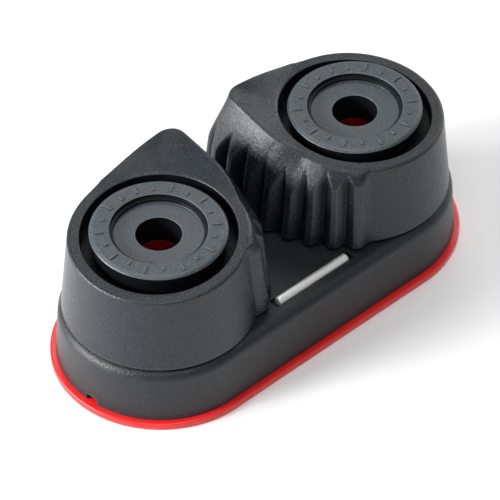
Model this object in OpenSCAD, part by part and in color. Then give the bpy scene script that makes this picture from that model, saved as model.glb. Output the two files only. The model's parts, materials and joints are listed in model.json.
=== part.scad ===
// Small ball-bearing cam cleat: two spring-loaded toothed cams on a common base.
// The two screw holes are also the two cam pivots. X runs through them, +Y is the side
// that the cam noses point to when closed, and Z = 0 is the underside of the bottom plate.

/* [Mounting] */
// Distance between the two screw holes
hole_spacing = 27; // [27:0.1:28]
// Diameter of the screw holes
screw_hole_d = 4.7; // [4.5:0.1:4.8]

/* [Bottom plate and base] */
// Radius of the bottom plate's round ends
plate_r = 11.5; // [11.4:0.1:12]
// Thickness of the bottom plate
plate_t = 0.8; // [0.6:0.1:1]
// Radius of the base's round ends, where it meets the plate
base_foot_r = 10.9; // [10.8:0.1:11.1]
// Radius of the base's round ends, below its rounded top edge
base_shoulder_r = 10.55; // [10.4:0.05:10.7]
// Height of the flat top of the base
base_top_z = 7; // [6.8:0.1:7]

/* [Cams] */
// Height of the cams' flat underside
cam_bottom_z = 7.3; // [7.25:0.05:7.4]
// Radius of a cam's round barrel at its underside
barrel_foot_r = 10.15; // [10:0.05:10.3]
// Radius of a cam's round barrel at its top
barrel_top_r = 9.1; // [8.9:0.1:9.3]
// Height of the crest above the nose, the highest point of the cleat
crest_z = 19; // [18.6:0.1:19.2]
// Radius of the toothed face where its first tooth starts
face_start_r = 11.1; // [10.9:0.1:11.2]
// Angle from the closed position to the open stop, in degrees
open_angle = 50; // [35:5:50]
// Number of grooves cut into the toothed face
groove_count = 8; // [6:1:9]

/* [Caps] */
// Diameter of the cap disc
cap_d = 14.06; // [13.6:0.1:14.2]
// Height of the top of the cap disc
cap_top_z = 17.33; // [17.2:0.05:17.5]
// Depth of the recess for the screw head
head_recess_depth = 0.75; // [0.5:0.05:1]
// Number of raised index marks on the cap
mark_count = 20; // [12:1:30]

/* [Bearings and springs] */
// Diameter of the bearing balls
ball_d = 1.94; // [1.9:0.01:1.96]
// Number of balls in each row
ball_count = 14; // [10:1:15]
// Diameter of the spring wire
wire_d = 0.6; // [0.5:0.05:0.6]
// Number of turns in each spring
spring_turns = 4.25; // [3.25:1:4.25]

/* [Hidden] */
$fn = 96;
shell_fn = 64;
eps = 0.01;
// How far each cut runs on past the solid it cuts
over = 1;

charcoal = [0.16, 0.18, 0.20];
slate = [0.24, 0.27, 0.30];
plate_red = [0.86, 0.10, 0.12];
steel = [0.80, 0.80, 0.80];
ball_tan = [0.72, 0.64, 0.46];

pivot_x = hole_spacing / 2;
hole_r = screw_hole_d / 2;

// Hollow post that joins the plate, the base and the cap of each cam
post_r = 3;
post_top_z = 13.3;
post_flange_r = 4.3;
post_flange_t = 0.95;
fit_gap = 0.02;

// Bearing: inner race on the base's hub and the cap's stem, outer race in the cam
inner_race_r = 4;
outer_race_r = 6;
ball_pitch_r = (inner_race_r + outer_race_r) / 2;
hub_top_z = 12.4;
hub_foot_r = 4.75;
lip_t = 0.3;
hub_foot_z = cam_bottom_z + lip_t;
lip_r = 5.2;
ball_rows = [8.62, 11.12, 13.62];
spacer_t = 0.44;
spacer_gap = 0.06;

// Base: outer wall, rounded edge, spring pocket and stop recess
base_round_r = 1.2;
base_round_step = 22.5;
pocket_inner_r = 6.2;
pocket_outer_r = 7.55;
pocket_floor_z = 2.4;
stop_outer_r = 8.75;
stop_floor_z = 5.6;
stop_clearance = 1;
stop_overlap = 0.2;
pry_slot_w = 1.3;
pry_slot_h = 0.8;
pry_slot_angle = 188;
pry_slot_depth = 1;

// Cam: crown, recess for the cap, hole for the spring leg and stop key
cap_recess_r = 7.98;
cap_recess_z = 14.7;
face_first_angle = -50;
face_last_angle = 40;
face_step = 5;
face_growth = [1, 1.6, 2.6];
nose_round_r = 0.8;
nose_angle = 41;
nose_round_step = 15;
shoulder_z = 12.8;
shoulder_inset = 0.35;
bevel_x = 10.1;
crest_back_y = 8.9;
crest_front_y = -1;
crest_corner = 0.7;
crest_front_steps = [[2, 3], [0.4, 0], [0, -2]];
crest_barrel_inset = 0.2;
crown_tilt_angle = 28;
crown_tilt = 4.3;
crown_z = 16.7;
nose_rise_angle = 25;
nose_rise = 21.5;
nose_rise_z = 17.2;
nose_rise_start = 8;
crown_cut_reach = 60;
crown_cut_h = 20;
groove_depth = 0.9;
groove_half_angle = 43;
groove_first_angle = -42;
groove_pitch = 2.5;
groove_reach = 1.6;
groove_top_low_z = 14.4;
groove_top_high_z = 16;
key_inner_r = 7.8;
key_outer_r = 8.5;
key_half_angle = 8;
key_angle = 180;
key_bottom_z = 5.9;
key_root = 0.5;

// Cap: disc, recess with one narrow ledge, stem and raised marks
cap_r = cap_d / 2;
cap_bottom_z = 15;
cap_edge = 0.2;
head_recess_r = 4.97;
head_ledge_r = 4.6;
head_ledge_depth = 0.38;
mark_inner_r = 5.45;
mark_long = 1;
mark_short = 0.5;
mark_w = 0.26;
mark_h = 0.12;
mark_root = 0.3;

// Wear bar: straight rod, half sunk into the front of the base's top
bar_r = 0.5;
bar_length = 9.6;
bar_y = -8.15;
bar_z = 6.95;
bar_pocket = 0.9;
bar_pocket_gap = 0.1;
bar_pocket_h = 2;

// Spring: close-wound coil with a leg into the base and a leg into the cam
coil_r = 6.88;
coil_start_angle = 190;
coil_pitch = 0.74;
coil_lift = 0.1;
coil_bottom_z = pocket_floor_z + wire_d / 2 + coil_lift;
coil_top_z = coil_bottom_z + spring_turns * coil_pitch;
leg_bottom_z = 1.5;
leg_top_z = 9;
leg_hole_r = 0.42;
leg_hole_gap = 0.3;
coil_steps = 16;
wire_sides = 8;

// Radius of the toothed face at one angle about the pivot, growing towards the nose
function face_share(a) = (a - face_first_angle) / (face_last_angle - face_first_angle);
function face_r(a) = face_start_r + face_growth[0] * face_share(a)
    + face_growth[1] * pow(face_share(a), 2) + face_growth[2] * pow(face_share(a), 3);
function polar(r, a) = [r * cos(a), r * sin(a)];

// Angle of a groove about the pivot, each one pitch further along the face than the last
function groove_angle(i) = i == 0 ? groove_first_angle
    : groove_angle(i - 1) + groove_pitch / face_r(groove_angle(i - 1)) * 180 / PI;

module left() {
    translate([-pivot_x, 0, 0]) children();
}

module right() {
    mirror([1, 0, 0]) left() children();
}

module both() {
    left() children();
    right() children();
}

module tube(r_out, r_in, z_low, z_high) {
    translate([0, 0, z_low]) difference() {
        cylinder(r = r_out, h = z_high - z_low);
        translate([0, 0, -over]) cylinder(r = r_in, h = z_high - z_low + 2 * over);
    }
}

// Part of a ring between two angles
module ring_sector(r_in, r_out, a_low, a_high, z_low, z_high) {
    translate([0, 0, z_low]) rotate([0, 0, a_low]) rotate_extrude(angle = a_high - a_low)
        translate([r_in, 0]) square([r_out - r_in, z_high - z_low]);
}

module bottom_plate() {
    color(plate_red) difference() {
        union() {
            both() cylinder(r = plate_r, h = plate_t);
            translate([-pivot_x, -plate_r, 0]) cube([hole_spacing, 2 * plate_r, plate_t]);
        }
        both() translate([0, 0, -over]) cylinder(r = hole_r, h = plate_t + 2 * over);
    }
}

// Outer form of the base, with a drafted wall and a rounded top edge
module base_shell() {
    wall_top = base_top_z - base_round_r;
    hull() {
        both() translate([0, 0, plate_t])
            cylinder(r1 = base_foot_r, r2 = base_shoulder_r, h = wall_top - plate_t, $fn = shell_fn);
        both() for (a = [base_round_step : base_round_step : 90])
            translate([0, 0, wall_top + base_round_r * sin(a) - eps])
                cylinder(r = base_shoulder_r - base_round_r * (1 - cos(a)), h = eps, $fn = shell_fn);
    }
}

module base_body() {
    color(charcoal) difference() {
        union() {
            base_shell();
            both() translate([0, 0, plate_t]) cylinder(r = hub_foot_r, h = hub_foot_z - plate_t);
            both() translate([0, 0, plate_t]) cylinder(r = inner_race_r, h = hub_top_z - plate_t);
        }
        both() base_side_cuts();
        bar_groove();
    }
}

// Everything that is cut out of the base around one pivot
module base_side_cuts() {
    translate([0, 0, -over]) cylinder(r = post_r + fit_gap, h = hub_top_z + 2 * over);
    translate([0, 0, -over])
        cylinder(r = post_flange_r + fit_gap, h = plate_t + post_flange_t + fit_gap + over);
    tube(pocket_outer_r, pocket_inner_r, pocket_floor_z, base_top_z + over);
    ring_sector(pocket_outer_r - stop_overlap, stop_outer_r, key_angle - key_half_angle - stop_clearance,
                key_angle + key_half_angle + open_angle + stop_clearance, stop_floor_z, base_top_z + over);
    rotate([0, 0, coil_start_angle]) translate([coil_r, 0, leg_bottom_z - leg_hole_gap])
        cylinder(r = leg_hole_r, h = pocket_floor_z);
    rotate([0, 0, pry_slot_angle]) translate([base_foot_r - pry_slot_depth, -pry_slot_w / 2, 0])
        cube([pry_slot_depth + over, pry_slot_w, plate_t + pry_slot_h]);
}

// Seat for the wear bar, with a small pocket past each of its ends
module bar_groove() {
    translate([-bar_length / 2 - fit_gap, bar_y, bar_z]) rotate([0, 90, 0])
        cylinder(r = bar_r + fit_gap, h = bar_length + 2 * fit_gap);
    for (s = [-1, 1])
        translate([s * bar_length / 2 - bar_pocket / 2, bar_y - bar_r - bar_pocket_gap, bar_z - bar_r])
            cube([bar_pocket, 2 * (bar_r + bar_pocket_gap), bar_pocket_h]);
}

module wear_bar() {
    color(steel) translate([-bar_length / 2, bar_y, bar_z]) rotate([0, 90, 0])
        cylinder(r = bar_r, h = bar_length);
}

module post() {
    color(plate_red) difference() {
        union() {
            translate([0, 0, plate_t]) cylinder(r = post_r, h = post_top_z - plate_t);
            translate([0, 0, plate_t]) cylinder(r = post_flange_r, h = post_flange_t);
        }
        translate([0, 0, -over]) cylinder(r = hole_r, h = post_top_z + 2 * over);
    }
}

module cap() {
    floor_z = cap_top_z - head_recess_depth;
    color(slate) difference() {
        union() {
            translate([0, 0, cap_bottom_z]) cylinder(r = cap_r, h = cap_top_z - cap_edge - cap_bottom_z);
            translate([0, 0, cap_top_z - cap_edge])
                cylinder(r1 = cap_r, r2 = cap_r - cap_edge, h = cap_edge);
            translate([0, 0, hub_top_z]) cylinder(r = inner_race_r, h = cap_bottom_z - hub_top_z + over);
            cap_marks();
        }
        translate([0, 0, hub_top_z - over]) cylinder(r = hole_r, h = cap_top_z);
        translate([0, 0, hub_top_z - over])
            cylinder(r = post_r + fit_gap, h = post_top_z - hub_top_z + over + fit_gap);
        translate([0, 0, floor_z]) cylinder(r = head_ledge_r, h = head_recess_depth + over);
        translate([0, 0, cap_top_z - head_ledge_depth])
            cylinder(r = head_recess_r, h = head_ledge_depth + over);
    }
}

// Ring of plain raised marks, long and short in turn
module cap_marks() {
    for (i = [0 : mark_count - 1])
        rotate([0, 0, i * 360 / mark_count]) translate([mark_inner_r, -mark_w / 2, cap_top_z - mark_root])
            cube([i % 2 == 0 ? mark_long : mark_short, mark_w, mark_root + mark_h]);
}

// Plan of the toothed side and the nose, as points about the pivot
module nose_plan(inset) {
    tip = polar(face_r(face_last_angle) - nose_round_r - inset, nose_angle);
    polygon(concat(
        [[0, 0]],
        [for (a = [face_first_angle : face_step : face_last_angle - face_step]) polar(face_r(a) - inset, a)],
        [for (a = [0 : nose_round_step : 90]) tip + polar(nose_round_r, a)],
        [[0, barrel_foot_r - inset / 2]]
    ));
}

module crest_plan() {
    polygon(concat(
        [[0, 0]],
        [for (step = crest_front_steps) [bevel_x - step[0], crest_front_y - step[1]]],
        [[bevel_x, crest_back_y - crest_corner], [bevel_x - crest_corner, crest_back_y],
         [0, barrel_top_r - crest_barrel_inset]]
    ));
}

// Outer form of a cam before its crown, grooves and bores are cut
module cam_shell() {
    hull() {
        translate([0, 0, cam_bottom_z])
            cylinder(r1 = barrel_foot_r, r2 = barrel_top_r, h = crest_z - cam_bottom_z, $fn = shell_fn);
        translate([0, 0, cam_bottom_z]) linear_extrude(eps) nose_plan(0);
        translate([0, 0, shoulder_z]) linear_extrude(eps) nose_plan(shoulder_inset);
        translate([0, 0, crest_z - eps]) linear_extrude(eps) crest_plan();
    }
}

// Half space above a plane that rises by tilt degrees towards the angle a
module above_plane(z, a, tilt, start) {
    rotate([0, 0, a]) translate([start, 0, z]) rotate([0, -tilt, 0])
        translate([-crown_cut_reach, -crown_cut_reach / 2, 0])
            cube([2 * crown_cut_reach, crown_cut_reach, crown_cut_h]);
}

// The crown is the lower of two slopes: a gentle tilt, and a steeper rise to the nose
module crown_cut() {
    intersection() {
        above_plane(crown_z, crown_tilt_angle, crown_tilt, 0);
        above_plane(nose_rise_z, nose_rise_angle, nose_rise, nose_rise_start);
    }
}

// Upright V grooves, one between each two teeth
module tooth_grooves() {
    for (i = [0 : groove_count - 1]) {
        a = groove_angle(i);
        share = i / (groove_count - 1);
        top = groove_top_high_z + share * (groove_top_low_z - groove_top_high_z);
        translate([0, 0, cam_bottom_z - over]) linear_extrude(top - cam_bottom_z + over)
            polygon([polar(face_r(a) - groove_depth, a),
                     polar(face_r(a) - groove_depth, a) + polar(groove_reach, a - groove_half_angle),
                     polar(face_r(a) - groove_depth, a) + polar(groove_reach, a + groove_half_angle)]);
    }
}

module cam() {
    color(charcoal) union() {
        difference() {
            cam_shell();
            crown_cut();
            tooth_grooves();
            translate([0, 0, cap_recess_z]) cylinder(r = cap_recess_r, h = crest_z);
            translate([0, 0, hub_foot_z]) cylinder(r = outer_race_r, h = crest_z);
            translate([0, 0, cam_bottom_z - over]) cylinder(r = lip_r, h = crest_z);
            rotate([0, 0, coil_start_angle + 360 * spring_turns]) translate([coil_r, 0, cam_bottom_z - over])
                cylinder(r = leg_hole_r, h = leg_top_z - cam_bottom_z + over + leg_hole_gap);
        }
        ring_sector(key_inner_r, key_outer_r, key_angle - key_half_angle, key_angle + key_half_angle,
                    key_bottom_z, cam_bottom_z + key_root);
    }
}

module ball_row(z) {
    color(ball_tan) for (i = [0 : ball_count - 1])
        rotate([0, 0, i * 360 / ball_count]) translate([ball_pitch_r, 0, z]) sphere(d = ball_d, $fn = 32);
}

// Flat ring that keeps two rows of balls apart
module spacer(row) {
    middle = (ball_rows[row] + ball_rows[row + 1]) / 2;
    color(slate) tube(outer_race_r - spacer_gap, inner_race_r + spacer_gap,
                      middle - spacer_t / 2, middle + spacer_t / 2);
}

// Centre line of the spring wire as [angle, height] on the coil's cylinder
coil_path = concat(
    [[coil_start_angle, leg_bottom_z]],
    [for (i = [0 : coil_steps * spring_turns])
        [coil_start_angle + 360 * i / coil_steps, coil_bottom_z + coil_pitch * i / coil_steps]],
    [[coil_start_angle + 360 * spring_turns, leg_top_z]]);
coil_last = len(coil_path) - 1;

function coil_point(i) = [coil_r * cos(coil_path[i][0]), coil_r * sin(coil_path[i][0]), coil_path[i][1]];
function coil_out(i) = [cos(coil_path[i][0]), sin(coil_path[i][0]), 0];
function unit(v) = v / norm(v);
function coil_along(i) = unit(coil_point(min(i + 1, coil_last)) - coil_point(max(i - 1, 0)));
function wire_point(i, k) = let (t = 360 * k / wire_sides, out = coil_out(i))
    coil_point(i) + wire_d / 2 * (cos(t) * out + sin(t) * unit(cross(coil_along(i), out)));
function wire_index(i, k) = i * wire_sides + k % wire_sides;

module spring() {
    color(steel) polyhedron(
        points = [for (i = [0 : coil_last]) for (k = [0 : wire_sides - 1]) wire_point(i, k)],
        faces = concat(
            [[for (k = [0 : wire_sides - 1]) wire_index(0, k)]],
            [for (i = [0 : coil_last - 1]) for (k = [0 : wire_sides - 1])
                [wire_index(i, k + 1), wire_index(i, k), wire_index(i + 1, k)]],
            [for (i = [0 : coil_last - 1]) for (k = [0 : wire_sides - 1])
                [wire_index(i, k + 1), wire_index(i + 1, k), wire_index(i + 1, k + 1)]],
            [[for (k = [wire_sides - 1 : -1 : 0]) wire_index(coil_last, k)]]),
        convexity = 10);
}

bottom_plate();
base_body();
wear_bar();
left() post();  // left_post
left() cap();  // left_cap
left() cam();  // left_cam
left() spring();  // left_spring
left() ball_row(ball_rows[0]);  // left_lower_balls
left() ball_row(ball_rows[1]);  // left_middle_balls
left() ball_row(ball_rows[2]);  // left_upper_balls
left() spacer(0);  // left_lower_spacer
left() spacer(1);  // left_upper_spacer
right() post();  // right_post
right() cap();  // right_cap
right() cam();  // right_cam
right() spring();  // right_spring
right() ball_row(ball_rows[0]);  // right_lower_balls
right() ball_row(ball_rows[1]);  // right_middle_balls
right() ball_row(ball_rows[2]);  // right_upper_balls
right() spacer(0);  // right_lower_spacer
right() spacer(1);  // right_upper_spacer
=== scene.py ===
"""Small ball-bearing cam cleat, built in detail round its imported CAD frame.

Lengths are in millimetres until a mesh is made, and angles in degrees. Each cam is modelled as
the left one, about its own pivot, and the right one is its mirror image in the plane X = 0.
"""
import json
import math

import bmesh
import bpy
import numpy as np
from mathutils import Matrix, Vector


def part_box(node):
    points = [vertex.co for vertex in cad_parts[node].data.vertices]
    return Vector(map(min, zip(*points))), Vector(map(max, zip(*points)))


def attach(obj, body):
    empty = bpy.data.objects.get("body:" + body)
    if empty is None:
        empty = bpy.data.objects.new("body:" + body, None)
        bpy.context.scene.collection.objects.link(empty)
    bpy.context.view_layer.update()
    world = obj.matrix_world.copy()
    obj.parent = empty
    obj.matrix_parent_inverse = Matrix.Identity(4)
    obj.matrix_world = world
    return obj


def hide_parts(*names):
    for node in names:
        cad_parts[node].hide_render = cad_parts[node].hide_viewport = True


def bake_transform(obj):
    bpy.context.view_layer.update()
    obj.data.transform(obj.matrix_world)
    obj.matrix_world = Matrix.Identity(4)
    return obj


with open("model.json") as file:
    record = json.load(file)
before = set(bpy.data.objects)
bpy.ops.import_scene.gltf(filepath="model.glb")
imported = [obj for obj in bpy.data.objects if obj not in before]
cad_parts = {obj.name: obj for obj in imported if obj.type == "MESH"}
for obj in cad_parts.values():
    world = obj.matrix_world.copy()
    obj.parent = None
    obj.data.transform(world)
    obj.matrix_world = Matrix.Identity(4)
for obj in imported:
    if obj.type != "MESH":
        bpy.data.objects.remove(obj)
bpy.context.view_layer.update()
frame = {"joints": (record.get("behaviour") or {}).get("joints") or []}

MM = 0.001


# ---------------------------------------------------------------- places from the CAD frame

def low(node):
    """Lowest corner of a CAD node, in millimetres."""
    return np.array(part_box(node)[0]) / MM


def high(node):
    """Highest corner of a CAD node, in millimetres."""
    return np.array(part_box(node)[1]) / MM


joint_places = {joint["name"]: joint["pos_m"] for joint in frame["joints"]}
PIVOT_X = abs(joint_places["left_cam_pivot"][0]) / MM
PLATE_TOP = high("bottom_plate")[2]
PLATE_R = high("bottom_plate")[1]
MARK_HEIGHT = 0.12
CAP_TOP = high("left_cap")[2] - MARK_HEIGHT
CAP_R = (high("left_cap")[0] - low("left_cap")[0]) / 2
STEM_BOTTOM = low("left_cap")[2]
BAR_LOW = low("wear_bar")
BAR_HIGH = high("wear_bar")
BAR_LENGTH = BAR_HIGH[0] - BAR_LOW[0]
BAR_Y, BAR_Z = (BAR_LOW[1] + BAR_HIGH[1]) / 2, (BAR_LOW[2] + BAR_HIGH[2]) / 2
BAR_R = (BAR_HIGH[2] - BAR_LOW[2]) / 2
POST_TOP = high("left_post")[2]
KEY_BOTTOM = low("left_cam")[2]
HUB_TOP = high("base_body")[2]
BALL_R = (high("left_lower_balls")[2] - low("left_lower_balls")[2]) / 2

# Sizes that the frame's boxes don't show
HOLE_R = 2.35
POST_R, POST_BORE_R = 3.0, 3.02
FLANGE_R, FLANGE_HEIGHT = 4.3, 0.95
BASE_TOP = 7.0
CAM_BOTTOM = 7.3
BALL_PITCH_R = 5.0
BALL_COUNT = 14
RACE_IN_R = 4.0
RACE_OUT_R = 6.0


# ---------------------------------------------------------------- small tools

def smoothstep(start, end, x):
    """0 at start, 1 at end, with a soft S between them."""
    t = np.clip((x - start) / (end - start), 0, 1)
    return t * t * (3 - 2 * t)


def smooth_min(a, b, width):
    """The smaller of a and b, with the corner between them rounded over width."""
    h = np.clip(0.5 + 0.5 * (b - a) / width, 0, 1)
    return b * (1 - h) + a * h - width * h * (1 - h)


def sin_deg(a):
    return np.sin(np.radians(a))


def cos_deg(a):
    return np.cos(np.radians(a))


def bezier(a, b, c, t):
    """Point at share t of a curve from a to c that is drawn towards b."""
    return (1 - t) ** 2 * a + 2 * t * (1 - t) * b + t * t * c


def new_object(name, mesh):
    piece = bpy.data.objects.new(name, mesh)
    bpy.context.scene.collection.objects.link(piece)
    return piece


MOST_SMOOTH_SIDES = 6


def shade(mesh, crease=32.0):
    """Smooth shading that breaks at edges sharper than crease degrees and on flat many-sided faces."""
    bm = bmesh.new()
    bm.from_mesh(mesh)
    bmesh.ops.recalc_face_normals(bm, faces=bm.faces)
    for face in bm.faces:
        face.smooth = len(face.verts) <= MOST_SMOOTH_SIDES
    for edge in bm.edges:
        edge.smooth = len(edge.link_faces) == 2 and edge.calc_face_angle(0) < math.radians(crease)
    bm.to_mesh(mesh)
    bm.free()


def mesh_from(name, points, faces, crease=32.0):
    """A mesh object from points in millimetres."""
    mesh = bpy.data.meshes.new(name)
    mesh.from_pydata((np.asarray(points, float) * MM).tolist(), [], faces)
    mesh.validate()
    shade(mesh, crease)
    return new_object(name, mesh)


def grid_faces(rows, columns, wrap_rows):
    """Quads over a grid whose columns close on themselves, and its rows too when wrap_rows is set."""
    faces = []
    for i in range(rows if wrap_rows else rows - 1):
        j = (i + 1) % rows
        for k in range(columns):
            m = (k + 1) % columns
            faces.append((i * columns + k, i * columns + m, j * columns + m, j * columns + k))
    return faces


def capped_faces(rows, columns):
    """Quads along a tube of rows, each a closed ring, and a face over each end."""
    last = (rows - 1) * columns
    ends = [tuple(range(columns))[::-1], tuple(last + k for k in range(columns))]
    return grid_faces(rows, columns, False) + ends


# The most of a side that one rounding takes, and the distance past it, as a share of the
# rounding, of an extra point that keeps the flat's shading flat
ROUNDING_SHARE = 0.4
SUPPORT_SHARE = 0.2


def rounded(corners, steps=5):
    """A closed outline through corners given as (across, up, radius), each one rounded off."""
    points = []
    count = len(corners)
    for i, (x, y, radius) in enumerate(corners):
        corner = np.array([x, y], float)
        if radius <= 0:
            points.append(corner)
            continue
        before = np.array(corners[i - 1][:2], float) - corner
        after = np.array(corners[(i + 1) % count][:2], float) - corner
        reach = (np.linalg.norm(before), np.linalg.norm(after))
        back, on = before / reach[0], after / reach[1]
        spans = [min(radius, ROUNDING_SHARE * length) for length in reach]
        start, end = corner + back * spans[0], corner + on * spans[1]
        points.append(start + back * spans[0] * SUPPORT_SHARE)
        points += [bezier(start, corner, end, t) for t in np.linspace(0, 1, steps + 1)]
        points.append(end + on * spans[1] * SUPPORT_SHARE)
    return np.array(points)


def lathe(name, corners, centre=(0.0, 0.0), segments=128, steps=5, crease=32.0):
    """A ring-shaped solid: a closed outline of (radius, height, rounding) turned about Z."""
    outline = rounded(corners, steps)
    angles = np.arange(segments) * 360 / segments
    radius = outline[:, 0][:, None]
    x = centre[0] + radius * cos_deg(angles)[None, :]
    y = centre[1] + radius * sin_deg(angles)[None, :]
    z = np.repeat(outline[:, 1][:, None], segments, 1)
    points = np.stack([x, y, z], -1).reshape(-1, 3)
    return mesh_from(name, points, grid_faces(len(outline), segments, True), crease)


def stadium(name, outline, segments=160, crease=32.0):
    """A closed solid with flat top and bottom, its wall an open outline of (end radius, height)."""
    half = np.linspace(-90, 90, segments // 2 + 1)
    angles = np.concatenate([half, half + 180])
    shift = np.repeat([PIVOT_X, -PIVOT_X], len(half))
    radius = outline[:, 0][:, None]
    x = shift[None, :] + radius * cos_deg(angles)[None, :]
    y = radius * sin_deg(angles)[None, :]
    z = np.repeat(outline[:, 1][:, None], len(angles), 1)
    points = np.stack([x, y, z], -1).reshape(-1, 3)
    return mesh_from(name, points, capped_faces(len(outline), len(angles)), crease)


def round_cutter(name, centre, radius, bottom, top, segments=96):
    """A plain upright cylinder to cut with."""
    a = np.arange(segments) * 360 / segments
    rows = [np.stack([centre[0] + radius * cos_deg(a), centre[1] + radius * sin_deg(a), z + 0 * a], -1)
            for z in (bottom, top)]
    return mesh_from(name, np.concatenate(rows), capped_faces(2, segments))


def rod(name, along, radius, segments, crease=32.0):
    """A round rod on the wear bar's line, with a radius at each place along X."""
    a = np.arange(segments) * 360 / segments
    rows = [np.stack([x + 0 * a, BAR_Y + r * cos_deg(a), BAR_Z + r * sin_deg(a)], -1)
            for x, r in zip(along, radius)]
    return mesh_from(name, np.concatenate(rows), capped_faces(len(rows), segments), crease)


def boolean(piece, operation, tools, crease=32.0):
    """Cuts the tools from piece, or joins them to it, and removes them."""
    for tool in tools:
        modifier = piece.modifiers.new("boolean", "BOOLEAN")
        modifier.operation = operation
        modifier.solver = "EXACT"
        modifier.object = tool
        depsgraph = bpy.context.evaluated_depsgraph_get()
        made = bpy.data.meshes.new_from_object(piece.evaluated_get(depsgraph))
        piece.modifiers.clear()
        old = piece.data
        piece.data = made
        bpy.data.meshes.remove(old)
        bpy.data.objects.remove(tool)
    shade(piece.data, crease)
    return piece


def block(name, centre, size, turn, edge):
    """A box with its edges rounded, turned about Z by turn degrees before it is placed."""
    bm = bmesh.new()
    bmesh.ops.create_cube(bm, size=1)
    bmesh.ops.scale(bm, vec=Vector(size), verts=bm.verts)
    bmesh.ops.bevel(bm, geom=bm.edges[:], offset=edge, segments=3, affect="EDGES", profile=0.5)
    points = np.array([v.co for v in bm.verts])
    faces = [tuple(v.index for v in f.verts) for f in bm.faces]
    bm.free()
    c, s = cos_deg(turn), sin_deg(turn)
    turned = points @ np.array([[c, s, 0], [-s, c, 0], [0, 0, 1]])
    return mesh_from(name, turned + np.array(centre), faces)


def mirrored(piece, name):
    """A copy of piece, mirrored in the plane X = 0."""
    mesh = piece.data.copy()
    mesh.name = name
    for vertex in mesh.vertices:
        vertex.co.x = -vertex.co.x
    mesh.flip_normals()
    return new_object(name, mesh)


def joined(name, pieces):
    """One object that holds the meshes of several, which are removed."""
    points, faces, offset = [], [], 0
    for piece in pieces:
        points += [v.co / MM for v in piece.data.vertices]
        faces += [tuple(offset + i for i in p.vertices) for p in piece.data.polygons]
        offset += len(piece.data.vertices)
        bpy.data.objects.remove(piece)
    return mesh_from(name, points, faces)


# ---------------------------------------------------------------- cam

# Angles round the left cam start at the line to the other pivot and grow towards the back, where
# the nose is.

# Outline at the underside: barrel, ramp up to the toothed face, nose and slanted back
BARREL_R = 10.15
RAMP_START = -58.0
FACE_START, FACE_END = -50.0, 40.0
FACE_R, FACE_BEND, FACE_SWELL = 11.1, 1.6, 2.6
NOSE_ROUND = 0.6
BACK_START, BACK_END = 12.0, 91.0
BACK_SLOPE = 0.025
# How much the wall leans in for each millimetre of height, and how much less it does along the back
DRAFT, BACK_DRAFT_LESS = 0.1, 0.025
# Edge of the crown: along the toothed face, round the tip and along the back
CREST_X, CREST_TURN, CREST_ROUND = 9.15, 6.0, 3.0
CREST_OUT_START, CREST_OUT_END = -15.0, 14.0
CREST_BACK_Y = 9.35
# Rise of that edge above the rim of the cap recess, and the angles over which it comes and goes
LIFT, LIFT_FROM_R, LIFT_SPAN = 2.05, 9.2, 1.9
LIFT_START, LIFT_FULL, LIFT_FALL, LIFT_END = -30.0, -20.0, 42.0, 112.0
RIM_Z, RIM_TILT, RIM_TILT_ANGLE = 16.67, 0.0747, 28.0
# Bevel from the toothed face up to the crest: the height where it starts, at a few angles
BEVEL_ANGLES = [-50, -28, -14, -2, 8, 18, 28, 40]
BEVEL_STARTS = [15.4, 14.6, 13.4, 12.8, 13.1, 13.9, 13.7, 12.4]
BEVEL_POWER = 1.35
GROOVE_FIRST, GROOVE_PITCH, GROOVE_COUNT = -42.0, 2.5, 9
GROOVE_DEPTH, GROOVE_HALF_WIDTH = 0.95, 0.9
GROOVE_ROOT, GROOVE_LIP = 0.1, 0.004
GROOVES_END = 47.0
# Rounded edges of the crown and the rim, and the chamfers below
NOSE_EDGE, BARREL_EDGE, RIM_EDGE, FOOT_EDGE = 0.2, 0.34, 0.14, 0.12
EDGE = 0.1
# Inside: cap recess, outer race with a lip below it, and the stop key under the cam
RECESS_R, RECESS_FLOOR, RECESS_EDGE = 7.98, 14.7, 0.15
LIP_R, LIP_HEIGHT = 5.2, 0.3
KEY_IN_R, KEY_OUT_R, KEY_HALF_ANGLE, KEY_DRAFT = 7.8, 8.5, 6.4, 0.05


def face_radius(a):
    """Radius of the toothed face at the cam's underside, growing towards the nose."""
    s = (a - FACE_START) / (FACE_END - FACE_START)
    return FACE_R + s + FACE_BEND * s ** 2 + FACE_SWELL * s ** 3


def foot_outline(a):
    """Radius of the whole cam at its underside, at angles a from -180 to 180."""
    near = np.clip(a, FACE_START, 75)
    face = BARREL_R + (face_radius(near) - BARREL_R) * smoothstep(RAMP_START, FACE_START + 1, a)
    slanted = np.clip(a, BACK_START, 95)
    back = BARREL_R / (sin_deg(slanted) - BACK_SLOPE * cos_deg(slanted))
    nose = smooth_min(face, back, NOSE_ROUND)
    return np.where((a > RAMP_START) & (a < BACK_END), np.maximum(nose, BARREL_R * (a > 60)), BARREL_R)


def crest_outline(a):
    """Radius of the edge of the crown, where it is smaller than the drafted wall."""
    front = CREST_X + smoothstep(CREST_OUT_START, CREST_OUT_END, a)
    straight = cos_deg(CREST_TURN) / cos_deg(np.clip(a, CREST_TURN, 75))
    back = CREST_BACK_Y / sin_deg(np.clip(a, 25, 90))
    return smooth_min(front * np.where(a > CREST_TURN, straight, 1), back, CREST_ROUND)


def rim_height(a):
    """Height of the crown at the edge of the cap recess."""
    return RIM_Z + RIM_TILT * RECESS_R * cos_deg(a - RIM_TILT_ANGLE)


def crest_lift(a):
    """How far the edge of the crown stands above the rim of the cap recess."""
    reach = np.maximum(crest_outline(np.minimum(a, LIFT_FALL)) - LIFT_FROM_R, 0)
    rising = LIFT * (1 - np.exp(-reach / LIFT_SPAN)) * smoothstep(LIFT_START, LIFT_FULL, a)
    falling = (1 - smoothstep(LIFT_FALL, LIFT_END, a)) ** 1.4
    return np.where((a > LIFT_START) & (a < LIFT_END), rising * falling, 0)


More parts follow.
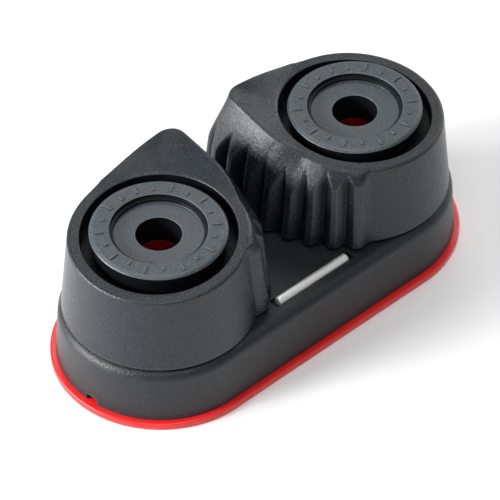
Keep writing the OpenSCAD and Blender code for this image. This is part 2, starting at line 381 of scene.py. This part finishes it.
def groove_angles():
    """Grooves at an even pitch along the face."""
    angles = [GROOVE_FIRST]
    for _ in range(GROOVE_COUNT - 1):
        angles.append(angles[-1] + math.degrees(GROOVE_PITCH / float(face_radius(angles[-1]))))
    return angles


def groove_cut(a, radius):
    """Depth of the upright V grooves below the tips of the teeth, the first one shallower."""
    cut = np.zeros_like(radius)
    for i, centre in enumerate(groove_angles()):
        across = np.radians(a - centre) * radius
        share = 1 - np.sqrt(across ** 2 + GROOVE_ROOT ** 2) / GROOVE_HALF_WIDTH
        depth = GROOVE_DEPTH * (0.8 if i == 0 else 1)
        cut = np.maximum(cut, depth * 0.5 * (share + np.sqrt(share ** 2 + GROOVE_LIP)))
    reach = smoothstep(FACE_START + 0.5, FACE_START + 4, a) * smoothstep(GROOVES_END, GROOVES_END - 3, a)
    return np.where(cut > 0.02, cut, 0) * reach


def wall_cuts(a, z, crown):
    """Drafted wall's radius at angle a and height z, and the depths of the bevel and the grooves."""
    draft = DRAFT - BACK_DRAFT_LESS * smoothstep(44, 58, a) * smoothstep(100, 80, a)
    wall = foot_outline(a) - draft * (z - CAM_BOTTOM)
    top = foot_outline(a) - draft * (crown - CAM_BOTTOM)
    lean = np.where((a > RAMP_START) & (a < 90), np.maximum(top - crest_outline(a), 0), 0)
    bevel_start = np.interp(a, BEVEL_ANGLES, BEVEL_STARTS)
    share = np.clip((z - bevel_start) / (crown - bevel_start), 0, 1)
    return wall, lean * share ** BEVEL_POWER, groove_cut(a, wall)


def wall_radius(a, z, crown):
    """Radius of the cam's outside at angle a and height z: the deeper cut counts, softly blended."""
    wall, bevel, groove = wall_cuts(a, z, crown)
    return wall - (bevel ** 8 + groove ** 8) ** (1 / 8)


def cam_angles():
    """Columns of the cam: close together over the toothed face and the nose, wider elsewhere."""
    fine = np.arange(RAMP_START - 2, 52, 0.4)
    back = np.arange(52, 96, 1.0)
    barrel = np.arange(96, 360 + RAMP_START - 2, 1.8)
    turn = np.concatenate([fine, back, barrel])
    return np.where(turn > 180, turn - 360, turn)


def outside_rings(a, crown, soft):
    """Rings up the wall, to where the rounding of width soft at its top begins."""
    foot = np.full_like(a, CAM_BOTTOM)
    rings = [(wall_radius(a, foot, crown) - FOOT_EDGE, foot)]
    for share in np.concatenate([[0.012], np.linspace(0.05, 0.45, 12), np.linspace(0.47, 1, 56)]):
        z = CAM_BOTTOM + (crown - soft - CAM_BOTTOM) * share
        rings.append((wall_radius(a, z, crown), z))
    return rings


def crown_rings(a, crown, soft, last_r):
    """Rings over the rounding, across the crown and over the rim of the cap recess."""
    rim, edge_r = rim_height(a), wall_radius(a, crown, crown)
    inner_r, rim_r = edge_r - soft * 1.3, RECESS_R + RIM_EDGE

    def height(radius):
        share = np.clip((radius - RECESS_R) / (edge_r - RECESS_R), 0, 1)
        return rim + (crown - rim) * share ** 1.1

    rings = [(bezier(last_r, edge_r, inner_r, t), bezier(crown - soft, crown, height(inner_r), t))
             for t in (0.2, 0.4, 0.6, 0.8, 1.0)]
    for share in np.linspace(0, 1, 14)[1:]:
        radius = inner_r + (rim_r - inner_r) * share
        rings.append((radius, height(radius)))
    return rings + [(bezier(rim_r, RECESS_R, RECESS_R, t) + 0 * a, bezier(rim, rim, rim - RIM_EDGE, t))
                    for t in (0.25, 0.5, 0.75, 1.0)]


def inside_rings(a):
    """Rings down the cap recess and the outer race, then out along the underside and its key."""
    lip_top = CAM_BOTTOM + LIP_HEIGHT
    corners = [(RECESS_R, RECESS_FLOOR + RECESS_EDGE), (RECESS_R - RECESS_EDGE, RECESS_FLOOR),
               (RACE_OUT_R + EDGE, RECESS_FLOOR), (RACE_OUT_R, RECESS_FLOOR - EDGE),
               (RACE_OUT_R, lip_top + EDGE), (RACE_OUT_R - EDGE, lip_top),
               (LIP_R + EDGE, lip_top), (LIP_R, lip_top - EDGE),
               (LIP_R, CAM_BOTTOM + EDGE), (LIP_R + EDGE, CAM_BOTTOM), (KEY_IN_R - KEY_DRAFT, CAM_BOTTOM)]
    rings = [(np.full_like(a, radius), np.full_like(a, z)) for radius, z in corners]
    key = (np.abs(np.abs(a) - 180) < KEY_HALF_ANGLE) * (CAM_BOTTOM - KEY_BOTTOM)
    rings += [(np.full_like(a, radius), CAM_BOTTOM - key) for radius in (KEY_IN_R, KEY_OUT_R)]
    return rings + [(np.full_like(a, KEY_OUT_R + KEY_DRAFT), np.full_like(a, CAM_BOTTOM))]


def shaded_share(a, crown, radius, z):
    """How deep a ring of the cam lies in the cap recess or in the grooves, from 0 to 1, as the share of
    painted shade it gets.
    """
    below_rim = (radius < RECESS_R + 0.02) & (z < rim_height(a) - 0.13)
    _, bevel, groove = wall_cuts(a, z, crown)
    valley = np.where(radius > FACE_R - 2.2, np.clip(groove - bevel, 0, 1) / GROOVE_DEPTH, 0)
    return np.maximum(below_rim, 0.8 * smoothstep(0.1, 0.9, valley))


def cam(name):
    """The left cam, in place: one closed stack of rings round its pivot."""
    a = cam_angles()
    crown = rim_height(a) + crest_lift(a)
    soft = np.where((a > -25) & (a < 90), NOSE_EDGE, BARREL_EDGE)
    rings = outside_rings(a, crown, soft)
    rings += crown_rings(a, crown, soft, rings[-1][0]) + inside_rings(a)
    points = [np.stack([r * cos_deg(a) - PIVOT_X, r * sin_deg(a), z + 0 * a], -1) for r, z in rings]
    piece = mesh_from(name, np.concatenate(points), grid_faces(len(rings), len(a), True), 38)
    # Painted shade down the cap recess and in the groove valleys
    mark_painted_shade(piece.data, np.concatenate([shaded_share(a, crown, r, z) for r, z in rings]))
    return piece


# ---------------------------------------------------------------- cap, post and bearing

# Steps down from the cap's top: the narrow ledge, and the seat of the screw head
LEDGE_R, LEDGE_DEPTH = 4.97, 0.38
SEAT_R, SEAT_DEPTH = 4.6, 0.75
CAP_BOTTOM = 15.0
# The side wall leans in by CAP_DRAFT, and a groove of CAP_LINE runs round just inside the top edge
CAP_DRAFT, CAP_LINE = 0.3, 0.05
CAP_CORNER, CAP_LINE_START, CAP_LINE_END = 0.22, 0.3, 0.36
MARK_COUNT = 20
MARK_IN_R, MARK_WIDTH, MARK_LENGTHS = 5.45, 0.26, (1.0, 0.5)


def cap(name):
    """The left cap: disc, stepped recess for a screw head, and the stem round the post."""
    top = CAP_TOP
    seat, ledge = top - SEAT_DEPTH, top - LEDGE_DEPTH
    ring = [(RACE_IN_R, STEM_BOTTOM, 0.1), (RACE_IN_R, CAP_BOTTOM, 0.1), (CAP_R - CAP_DRAFT, CAP_BOTTOM, 0.1),
            (CAP_R, top - CAP_CORNER, 0.08), (CAP_R - CAP_CORNER, top - CAP_LINE, 0.05),
            (CAP_R - CAP_LINE_START, top - CAP_LINE, 0.03), (CAP_R - CAP_LINE_END, top, 0.03),
            (LEDGE_R, top, 0.07), (LEDGE_R, ledge, 0.05), (SEAT_R, ledge, 0.05), (SEAT_R - 0.04, seat, 0.08),
            (HOLE_R, seat, 0.1), (HOLE_R, POST_TOP + 0.02, 0), (POST_BORE_R, POST_TOP + 0.02, 0),
            (POST_BORE_R, STEM_BOTTOM, 0.05)]
    disc = lathe(name, ring, (-PIVOT_X, 0), 192, 4, 30)
    marks = []
    for i in range(MARK_COUNT):
        length = MARK_LENGTHS[i % 2]
        angle = i * 360 / MARK_COUNT
        middle = MARK_IN_R + length / 2
        place = (middle * cos_deg(angle) - PIVOT_X, middle * sin_deg(angle), top)
        marks.append(block(f"{name}_mark_{i}", place, (length, MARK_WIDTH, 2 * MARK_HEIGHT), angle, 0.03))
    piece = joined(name, [disc, *marks])
    # Painted shade on the cap's side wall, hole, recess and the roots of the marks
    mark_painted_shade(piece.data, cap_painted_shade(piece))
    return piece


def cap_painted_shade(piece):
    """How much painted shade, dark and dull, each vertex of the cap gets: its side wall, its hole, its recess
    and the marks' roots.
    """
    points = np.array([v.co / MM for v in piece.data.vertices])
    radius, depth = np.hypot(points[:, 0] + PIVOT_X, points[:, 1]), CAP_TOP - points[:, 2]
    recess = (radius > SEAT_R - 0.1) & (radius < LEDGE_R + 0.02) & (depth > 0.08) & (depth < 0.7)
    outside = (radius > LEDGE_R + 0.1) & (depth > CAP_CORNER + 0.02)
    hole = (radius < HOLE_R + 0.05) & (depth > SEAT_DEPTH + 0.05)
    on_marks = (radius > MARK_IN_R - 0.1) & (radius < MARK_IN_R + MARK_LENGTHS[0] + 0.1)
    roots = on_marks & (depth > 0.05) & (depth < 0.2)
    return np.maximum(outside | hole | roots, 0.95 * recess)


def post(name):
    """The left hollow post, with its flange under the base."""
    flange_top = PLATE_TOP + FLANGE_HEIGHT
    return lathe(name, [(HOLE_R, PLATE_TOP, 0), (FLANGE_R, PLATE_TOP, 0.1), (FLANGE_R, flange_top, 0.1),
                        (POST_R, flange_top, 0.05), (POST_R, POST_TOP, 0.15), (HOLE_R, POST_TOP, 0.08)],
                 (-PIVOT_X, 0), 96)


PARTING_GROWTH = 1.004
TRACK_DEPTH = 0.08


def ball_row(name, node):
    """A row of loose balls, each with the faint parting ring of a moulded ball."""
    z = (low(node)[2] + high(node)[2]) / 2
    bm = bmesh.new()
    for i in range(BALL_COUNT):
        angle = i * 360 / BALL_COUNT
        made = bmesh.ops.create_uvsphere(bm, u_segments=32, v_segments=16, radius=BALL_R)
        for vertex in made["verts"]:
            if abs(vertex.co.z) < 0.01:
                vertex.co *= PARTING_GROWTH
            vertex.co += Vector((BALL_PITCH_R * cos_deg(angle) - PIVOT_X, BALL_PITCH_R * sin_deg(angle), z))
    points = [v.co.copy() for v in bm.verts]
    # Blender lists a sphere's faces in another order each run, so they are sorted
    faces = sorted(tuple(v.index for v in f.verts) for f in bm.faces)
    bm.free()
    return mesh_from(name, points, faces, 60)


def spacer(name, node):
    """A flat ring between two rows of balls, with a shallow track on each side."""
    bottom, top = low(node)[2], high(node)[2]
    outer = (high(node)[0] - low(node)[0]) / 2
    inner = RACE_IN_R + (RACE_OUT_R - outer)
    middle = (inner + outer) / 2
    return lathe(name, [(inner, bottom, 0.08), (middle, bottom + TRACK_DEPTH, 0.5), (outer, bottom, 0.08),
                        (outer, top, 0.08), (middle, top - TRACK_DEPTH, 0.5), (inner, top, 0.08)],
                 (-PIVOT_X, 0), 128)


# ---------------------------------------------------------------- spring

WIRE_R = 0.3
COIL_R = 6.88
COIL_START, COIL_TURNS, COIL_PITCH = 190.0, 4.25, 0.74
COIL_BOTTOM, COIL_TOP = 2.8, 6.1
LEG_BEND = 0.35
STEPS_A_TURN, WIRE_SIDES = 36, 14


def spring(name, node):
    """Torsion spring: a close coil with one leg down into the base and one up into the cam."""
    turn = np.arange(int(COIL_TURNS * STEPS_A_TURN) + 1) / STEPS_A_TURN
    angle = np.concatenate([[0, 0], turn, [COIL_TURNS, COIL_TURNS]]) * 360 + COIL_START
    coil_end = COIL_BOTTOM + COIL_PITCH * COIL_TURNS
    height = np.concatenate([[low(node)[2], COIL_BOTTOM - LEG_BEND], COIL_BOTTOM + COIL_PITCH * turn,
                             [coil_end + LEG_BEND, high(node)[2]]])
    path = np.stack([COIL_R * cos_deg(angle), COIL_R * sin_deg(angle), height], -1)
    along = np.gradient(path, axis=0)
    along /= np.linalg.norm(along, axis=1)[:, None]
    out = np.stack([cos_deg(angle), sin_deg(angle), 0 * angle], -1)
    side = np.cross(along, out)
    side /= np.linalg.norm(side, axis=1)[:, None]
    around = np.arange(WIRE_SIDES) * 360 / WIRE_SIDES
    ring = (cos_deg(around)[None, :, None] * out[:, None, :]
            + sin_deg(around)[None, :, None] * side[:, None, :])
    points = (path[:, None, :] + WIRE_R * ring + np.array([-PIVOT_X, 0, 0])).reshape(-1, 3)
    return mesh_from(name, points, capped_faces(len(path), WIRE_SIDES), 50)


# ---------------------------------------------------------------- base, plate and wear bar

BASE_FOOT_R, BASE_SHOULDER_R, BASE_ROUND = 10.9, 10.55, 1.2
HUB_R, HUB_SHOULDER = 4.75, CAM_BOTTOM + LIP_HEIGHT
# Spring pocket, wider at its mouth
POCKET_IN_R, POCKET_OUT_R, POCKET_FLOOR = 6.2, 7.55, 2.4
MOUTH_IN_R, MOUTH_OUT_R = 5.9, 7.9
# Arc that the stop key travels in
STOP_START, STOP_END, STOP_IN_R, STOP_OUT_R, STOP_FLOOR = 171, 239, 7.3, 8.75, 5.6
PRY_ANGLE, PRY_SIZE = 188.0, (2.0, 1.3, 1.6)
BAR_ROOM = 0.04
BAR_END_SIZE, BAR_END_LIFT = (0.9, 1.25, 1.7), 0.35
# How far cutters reach past what they cut
OVER = 1


def base_wall():
    """The base's wall as (end radius, height): drafted, then rounded into its top."""
    shoulder = BASE_TOP - BASE_ROUND
    wall = [(BASE_FOOT_R - EDGE, PLATE_TOP), (BASE_FOOT_R, PLATE_TOP + EDGE)]
    wall += [(BASE_FOOT_R + (BASE_SHOULDER_R - BASE_FOOT_R) * t, PLATE_TOP + (shoulder - PLATE_TOP) * t)
             for t in np.linspace(0.1, 1, 9)]
    wall += [(BASE_SHOULDER_R - BASE_ROUND * (1 - cos_deg(t)), shoulder + BASE_ROUND * sin_deg(t))
             for t in np.arange(7.5, 91, 7.5)]
    return np.array(wall)


def base_body(name):
    """Base with a drafted wall, a rounded top edge, and everything that is cut into its top."""
    body = stadium(name, base_wall())
    hubs, cutters = [], []
    for side in (-1, 1):
        centre = (side * PIVOT_X, 0)
        hubs.append(lathe("hub", [(POST_BORE_R, PLATE_TOP + 1, 0), (HUB_R, PLATE_TOP + 1, 0),
                                  (HUB_R, HUB_SHOULDER, 0.12), (RACE_IN_R, HUB_SHOULDER, 0.08),
                                  (RACE_IN_R, HUB_TOP, 0.12), (POST_BORE_R, HUB_TOP, 0.05)], centre, 96))
        cutters.append(lathe("pocket", [(POCKET_IN_R, POCKET_FLOOR, 0.2), (POCKET_OUT_R, POCKET_FLOOR, 0.2),
                                        (POCKET_OUT_R, BASE_TOP - 0.15, 0), (MOUTH_OUT_R, BASE_TOP + 0.2, 0),
                                        (MOUTH_OUT_R, BASE_TOP + OVER, 0), (MOUTH_IN_R, BASE_TOP + OVER, 0),
                                        (MOUTH_IN_R, BASE_TOP + 0.2, 0), (POCKET_IN_R, BASE_TOP - 0.1, 0)],
                             centre, 96))
        cutters.append(round_cutter("bore", centre, POST_BORE_R + 0.01,
                                    PLATE_TOP - OVER, BASE_TOP + 0.9))
        cutters.append(round_cutter("flange_seat", centre, FLANGE_R + 0.02, PLATE_TOP - OVER,
                                    PLATE_TOP + FLANGE_HEIGHT + 0.02))
        cutters.append(stop_cutter(side))
        turn = PRY_ANGLE if side < 0 else 180 - PRY_ANGLE
        place = (centre[0] + BASE_FOOT_R * cos_deg(turn), BASE_FOOT_R * sin_deg(turn), PLATE_TOP)
        cutters.append(block("pry_slot", place, PRY_SIZE, turn, 0.12))
    cutters += bar_seat()
    boolean(body, "DIFFERENCE", cutters)
    return boolean(body, "UNION", hubs)


def stop_cutter(side):
    """Arc beside the spring pocket, for the key under the cam to travel in."""
    a = np.linspace(STOP_START, STOP_END, 40)
    rows = [np.stack([radius * cos_deg(a) - PIVOT_X, radius * sin_deg(a), z + 0 * a], -1)
            for radius, z in ((STOP_IN_R, STOP_FLOOR), (STOP_OUT_R, STOP_FLOOR),
                              (STOP_OUT_R, BASE_TOP + OVER), (STOP_IN_R, BASE_TOP + OVER))]
    points = np.stack(rows, 1).reshape(-1, 3)
    points[:, 0] *= -side
    return mesh_from("stop", points, capped_faces(len(a), 4))


def bar_seat():
    """Cutters for the trough that the wear bar lies in and the pockets past its ends."""
    reach = BAR_LENGTH / 2 + 0.1
    cutters = [rod("trough", [-reach, reach], [BAR_R + BAR_ROOM] * 2, 48)]
    for side in (-1, 1):
        place = (side * reach, BAR_Y, BAR_Z + BAR_END_LIFT)
        cutters.append(block("bar_end", place, BAR_END_SIZE, 0, 0.18))
    return cutters


def bottom_plate(name):
    """Thin plate with softly rounded edges and the two screw holes."""
    wall = [(PLATE_R - 0.12, 0.0), (PLATE_R - 0.04, 0.03), (PLATE_R, 0.1),
            (PLATE_R, PLATE_TOP - 0.16), (PLATE_R - 0.03, PLATE_TOP - 0.07),
            (PLATE_R - 0.09, PLATE_TOP - 0.02), (PLATE_R - 0.17, PLATE_TOP)]
    plate = stadium(name, np.array(wall), 160, 50)
    holes = [round_cutter("hole", (side * PIVOT_X, 0), HOLE_R, -OVER, PLATE_TOP + OVER)
             for side in (-1, 1)]
    return boolean(plate, "DIFFERENCE", holes, 50)


def wear_bar(name):
    """Polished rod with slightly rounded ends."""
    start = np.array([0, 0.02, 0.06, 0.12])
    along = np.concatenate([start, np.linspace(0.3, BAR_LENGTH - 0.3, 9), BAR_LENGTH - start[::-1]])
    ends = np.minimum(along, BAR_LENGTH - along)
    radius = BAR_R * np.sqrt(1 - 0.45 * np.clip(1 - ends / start[-1], 0, 1) ** 2)
    return rod(name, along - BAR_LENGTH / 2, radius, 40, 50)


# ---------------------------------------------------------------- materials

# Sockets of a colour Mix node, whose names repeat for each data type
MIX_FIRST, MIX_SECOND, MIX_RESULT = 6, 7, 2


def material(name):
    """A new material, its node tree and its shader."""
    made = bpy.data.materials.new(name)
    made.use_nodes = True
    tree = made.node_tree
    return made, tree, tree.nodes["Principled BSDF"]


def add(tree, kind, **values):
    """A node with some of its inputs or properties set."""
    node = tree.nodes.new(kind)
    for key, value in values.items():
        if key in node.inputs:
            node.inputs[key].default_value = value
        else:
            setattr(node, key, value)
    return node


def noise(tree, where, scale, detail, roughness=0.55):
    """Noise from 0 to 1 in the object's own space, its scale in cells a metre."""
    node = add(tree, "ShaderNodeTexNoise", Scale=scale, Detail=detail, Roughness=roughness)
    tree.links.new(where.outputs["Object"], node.inputs["Vector"])
    return node.outputs["Fac"]


def remap(tree, value, low_in, high_in, low_out, high_out):
    """Stretches a value from one span to another, and holds it there."""
    node = tree.nodes.new("ShaderNodeMapRange")
    for key, number in (("From Min", low_in), ("From Max", high_in),
                        ("To Min", low_out), ("To Max", high_out)):
        node.inputs[key].default_value = number
    tree.links.new(value, node.inputs["Value"])
    return node.outputs["Result"]


def mix_colour(tree, share, first, second):
    """Mixes two colours, each a tuple or a socket, by a share."""
    node = add(tree, "ShaderNodeMix", data_type="RGBA")
    tree.links.new(share, node.inputs["Factor"])
    for index, colour in ((MIX_FIRST, first), (MIX_SECOND, second)):
        if isinstance(colour, tuple):
            node.inputs[index].default_value = (*colour, 1)
        else:
            tree.links.new(colour, node.inputs[index])
    return node.outputs[MIX_RESULT]


def relief(tree, shader, height, strength, distance):
    """Fine bumps on the surface, raised where height is high."""
    bump = add(tree, "ShaderNodeBump", Strength=strength, Distance=distance)
    tree.links.new(height, bump.inputs["Height"])
    tree.links.new(bump.outputs["Normal"], shader.inputs["Normal"])


def edge_wear_and_highlight_share(tree, amount):
    """Up to amount on the sharpest outward edges and 0 on flats, from the attribute mark_edges sets, for
    lightening that is partly wear and partly a painted highlight.
    """
    wear_and_highlight = add(tree, "ShaderNodeAttribute", attribute_name="edge_wear_and_highlight")
    return remap(tree, wear_and_highlight.outputs["Fac"], 0, 1, 0, amount)


def mark_edges(mesh, sharpest=7.0):
    """Stores how sharply each vertex bends outwards: 1 is a rounding of 1 / sharpest millimetres."""
    edges, polygons = len(mesh.edges), len(mesh.polygons)
    edge_of_loop, sides = np.empty(len(mesh.loops), int), np.empty(polygons, int)
    ends = np.empty(2 * edges, int)
    centre, normal = np.empty(3 * polygons), np.empty(3 * polygons)
    mesh.loops.foreach_get("edge_index", edge_of_loop)
    mesh.polygons.foreach_get("loop_total", sides)
    mesh.edges.foreach_get("vertices", ends)
    mesh.polygons.foreach_get("center", centre)
    mesh.polygons.foreach_get("normal", normal)
    centre, normal = centre.reshape(-1, 3) / MM, normal.reshape(-1, 3)
    # The two faces at each edge that has two, found by sorting the face corners by edge
    polygon_of_loop = np.repeat(np.arange(polygons), sides)
    order = np.argsort(edge_of_loop, kind="stable")
    count = np.bincount(edge_of_loop, minlength=edges)
    first = np.concatenate([[0], np.cumsum(count)[:-1]])
    pair = np.where(count == 2)[0]
    one, two = polygon_of_loop[order[first[pair]]], polygon_of_loop[order[first[pair] + 1]]
    # Bend for each millimetre between the faces' centres, counted only where the edge is convex
    apart = centre[two] - centre[one]
    gap = np.linalg.norm(apart, axis=1) + 0.01
    bend = np.arccos(np.clip((normal[one] * normal[two]).sum(1), -1, 1))
    bend = np.where((apart * normal[one]).sum(1) < 0, bend, 0) / gap
    wear_and_highlight = np.zeros(len(mesh.vertices))
    for end in ends.reshape(-1, 2)[pair].T:
        np.maximum.at(wear_and_highlight, end, np.clip(bend / sharpest, 0, 1))
    # This value later lightens outward edges: partly rubbed wear, partly a painted highlight
    layer = mesh.attributes.new("edge_wear_and_highlight", "FLOAT", "POINT")
    layer.data.foreach_set("value", wear_and_highlight.astype(np.float32))


# Painted shade on the mouldings deep in gaps: its dark colour, and the gloss outside it and in it
PAINTED_SHADE_COLOUR = (0.005, 0.006, 0.007)
OPEN_GLOSS, PAINTED_SHADE_GLOSS = 0.42, 0.1


def moulded(name, dark, light, fleck_wear_and_highlight, rough, grain, bump):
    """Fibre-filled moulded plastic: fine grain, cloudy colour, edges a little lighter, partly rubbed wear and
    partly a painted highlight, and painted shade in gaps.
    """
    made, tree, shader = material(name)
    where = tree.nodes.new("ShaderNodeTexCoord")
    cloud = noise(tree, where, 90, 5)
    speck = noise(tree, where, grain, 2, 0.7)
    base = mix_colour(tree, remap(tree, cloud, 0.3, 0.7, 0, 1), dark, light)
    flecked = mix_colour(tree, remap(tree, speck, 0.5, 0.75, 0, 0.6), base, fleck_wear_and_highlight)
    # Outward edges lighter: partly rubbed wear, partly a painted highlight
    rubbed_and_highlit = mix_colour(tree, edge_wear_and_highlight_share(tree, 0.7), flecked, fleck_wear_and_highlight)
    # Painted shade: where this attribute is high, in gaps, recesses and grooves, the colour is painted dark
    # and the gloss dulled
    painted_shade = add(tree, "ShaderNodeAttribute", attribute_name="painted_shade").outputs["Fac"]
    tree.links.new(mix_colour(tree, painted_shade, rubbed_and_highlit, PAINTED_SHADE_COLOUR), shader.inputs["Base Color"])
    tree.links.new(remap(tree, painted_shade, 0, 1, OPEN_GLOSS, PAINTED_SHADE_GLOSS), shader.inputs["Specular IOR Level"])
    fine = noise(tree, where, grain * 1.3, 3, 0.6)
    tree.links.new(remap(tree, fine, 0.3, 0.7, rough - 0.07, rough + 0.07), shader.inputs["Roughness"])
    relief(tree, shader, fine, bump, 0.06 * MM)
    return made


def glossy(name, dark, light, rough, metallic=0.0, coat=0.0):
    """Smooth coloured finish with slight clouds in colour and gloss."""
    made, tree, shader = material(name)
    where = tree.nodes.new("ShaderNodeTexCoord")
    cloud = noise(tree, where, 120, 4)
    clouded = mix_colour(tree, remap(tree, cloud, 0.3, 0.7, 0, 1), dark, light)
    tree.links.new(clouded, shader.inputs["Base Color"])
    fine = noise(tree, where, 500, 3, 0.6)
    tree.links.new(remap(tree, fine, 0.3, 0.7, rough * 0.8, rough * 1.2), shader.inputs["Roughness"])
    relief(tree, shader, fine, 0.1, 0.01 * MM)
    shader.inputs["Metallic"].default_value = metallic
    shader.inputs["Coat Weight"].default_value = coat
    return made


def drawn_steel(name, rough):
    """Stainless wire or rod, with faint lines drawn along X."""
    made, tree, shader = material(name)
    where = tree.nodes.new("ShaderNodeTexCoord")
    stretch = add(tree, "ShaderNodeMapping")
    stretch.inputs["Scale"].default_value = (40, 4000, 4000)
    tree.links.new(where.outputs["Object"], stretch.inputs["Vector"])
    lines = add(tree, "ShaderNodeTexNoise", Scale=1.0, Detail=3.0, Roughness=0.6)
    tree.links.new(stretch.outputs["Vector"], lines.inputs["Vector"])
    fac = lines.outputs["Fac"]
    streaked = mix_colour(tree, fac, (0.92, 0.92, 0.91), (0.99, 0.99, 0.98))
    tree.links.new(streaked, shader.inputs["Base Color"])
    tree.links.new(remap(tree, fac, 0.3, 0.7, rough * 0.7, rough * 1.4), shader.inputs["Roughness"])
    relief(tree, shader, fac, 0.15, 0.01 * MM)
    shader.inputs["Metallic"].default_value = 0.6
    return made


MATERIALS = {
    "cam": moulded("cam_plastic", (0.006, 0.010, 0.014), (0.010, 0.015, 0.020), (0.045, 0.053, 0.061),
                   0.25, 4600, 0.9),
    "base": moulded("base_plastic", (0.007, 0.009, 0.011), (0.011, 0.014, 0.017), (0.045, 0.05, 0.055),
                    0.36, 4600, 1.0),
    "cap": moulded("cap_plastic", (0.027, 0.039, 0.048), (0.039, 0.051, 0.061), (0.12, 0.14, 0.15),
                   0.3, 5000, 0.6),
    "red_plate": glossy("red_plastic", (0.68, 0.013, 0.014), (0.76, 0.020, 0.021), 0.34, coat=0.1),
    "post": glossy("red_anodised", (0.40, 0.010, 0.018), (0.48, 0.014, 0.024), 0.3, metallic=0.6),
    "steel": drawn_steel("stainless", 0.45),
    "ball": glossy("ball_plastic", (0.55, 0.44, 0.24), (0.62, 0.50, 0.28), 0.25),
    "spacer": glossy("spacer_plastic", (0.78, 0.77, 0.72), (0.84, 0.83, 0.79), 0.4),
}


# ---------------------------------------------------------------- putting the pieces on their bodies

def mark_painted_shade(mesh, inside):
    """Stores how far each vertex lies in a gap, where painted shade makes the moulding dull and dark."""
    layer = mesh.attributes.new("painted_shade", "FLOAT", "POINT")
    layer.data.foreach_set("value", inside.astype(np.float32))


def finish_piece(piece, node, body, slot):
    """Paints a piece and lets it stand for a CAD node on a body."""
    mark_edges(piece.data)
    piece.data.materials.clear()
    piece.data.materials.append(MATERIALS[slot])
    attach(piece, body)
    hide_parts(node)


finish_piece(bottom_plate("plate"), "bottom_plate", "base", "red_plate")
finish_piece(base_body("base_moulding"), "base_body", "base", "base")
finish_piece(wear_bar("rope_bar"), "wear_bar", "base", "steel")

LEFT_PIECES = [
    (post("left_hollow_post"), "post", "base", "post"),
    (cap("left_cap_disc"), "cap", "base", "cap"),
    (cam("left_toothed_cam"), "cam", "cam", "cam"),
    (ball_row("left_ball_row_lower", "left_lower_balls"), "lower_balls", "bearing", "ball"),
    (ball_row("left_ball_row_middle", "left_middle_balls"), "middle_balls", "bearing", "ball"),
    (ball_row("left_ball_row_upper", "left_upper_balls"), "upper_balls", "bearing", "ball"),
    (spacer("left_ring_lower", "left_lower_spacer"), "lower_spacer", "bearing", "spacer"),
    (spacer("left_ring_upper", "left_upper_spacer"), "upper_spacer", "bearing", "spacer"),
]
for piece, node, body, slot in LEFT_PIECES:
    other = mirrored(piece, piece.name.replace("left", "right"))
    for made, side in ((piece, "left"), (other, "right")):
        finish_piece(made, f"{side}_{node}", body if body == "base" else f"{side}_{body}", slot)

left_spring = spring("left_torsion_spring", "left_spring")
right_spring = mirrored(left_spring, "right_torsion_spring")
for made, side in ((left_spring, "left"), (right_spring, "right")):
    made.data.materials.clear()
    made.data.materials.append(MATERIALS["steel"])
    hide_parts(f"{side}_spring")
    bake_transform(made)


# ---------------------------------------------------------------- floor, light and camera

# Metres from here on
FLOOR_REACH = 3.0
FLOOR_DROP = 0.00002


def floor():
    """A wide pale sheet just below the plate."""
    made, _, shader = material("pale_floor")
    shader.inputs["Base Color"].default_value = (0.93, 0.93, 0.93, 1)
    shader.inputs["Roughness"].default_value = 0.7
    mesh = bpy.data.meshes.new("floor")
    corners = [(x * FLOOR_REACH, y * FLOOR_REACH, 0) for x, y in ((-1, -1), (1, -1), (1, 1), (-1, 1))]
    mesh.from_pydata(corners, [], [(0, 1, 2, 3)])
    mesh.materials.append(made)
    ground = new_object("floor", mesh)
    ground.location.z = -FLOOR_DROP


def area_light(name, place, target, size, power):
    """A soft white panel at place, facing target."""
    data = bpy.data.lights.new(name, "AREA")
    data.shape = "RECTANGLE"
    data.size, data.size_y = size
    data.energy = power
    light = new_object(name, data)
    light.location = place
    light.rotation_euler = (Vector(target) - Vector(place)).to_track_quat("-Z", "Y").to_euler()


def camera(azimuth, elevation, distance, target, lens):
    """A camera at a distance from target, its azimuth from the front and its elevation in degrees."""
    data = bpy.data.cameras.new("camera")
    data.lens = lens
    data.sensor_width = 36
    data.clip_start, data.clip_end = 0.01, 20
    view = new_object("camera", data)
    turn, rise = math.radians(azimuth), math.radians(elevation)
    back = Vector((math.sin(turn) * math.cos(rise), -math.cos(turn) * math.cos(rise), math.sin(rise)))
    view.location = Vector(target) + distance * back
    view.rotation_euler = back.to_track_quat("Z", "Y").to_euler()
    bpy.context.scene.camera = view


floor()
world = bpy.data.worlds.new("studio")
bpy.context.scene.world = world
world.use_nodes = True
background = world.node_tree.nodes["Background"]
background.inputs["Color"].default_value = (1, 1, 1, 1)
background.inputs["Strength"].default_value = 0.24
area_light("right_softbox", (0.19, 0.25, 0.36), (0, 0, 0.01), (0.2, 0.2), 0.36)
area_light("right_low_panel", (0.45, 0.08, 0.2), (0, 0, 0.016), (0.25, 0.15), 0.6)
area_light("left_panel", (-0.43, 0.26, 0.17), (0, 0, 0.016), (0.26, 0.22), 3.3)
area_light("left_high_panel", (-0.455, 0.14, 0.22), (0, 0, 0.016), (0.12, 0.12), 2.1)
area_light("high_front", (-0.1, -0.16, 0.5), (0, 0, 0.01), (0.3, 0.2), 0.88)
area_light("overhead", (0.01, 0.07, 0.5), (0, 0, 0.01), (0.12, 0.12), 0.16)
camera(azimuth=-42.217, elevation=45.017, distance=0.36707,
       target=(-0.002517, -0.001484, 0.008), lens=256.54)
bpy.context.scene.view_settings.view_transform = "Standard"

bpy.context.view_layer.update()
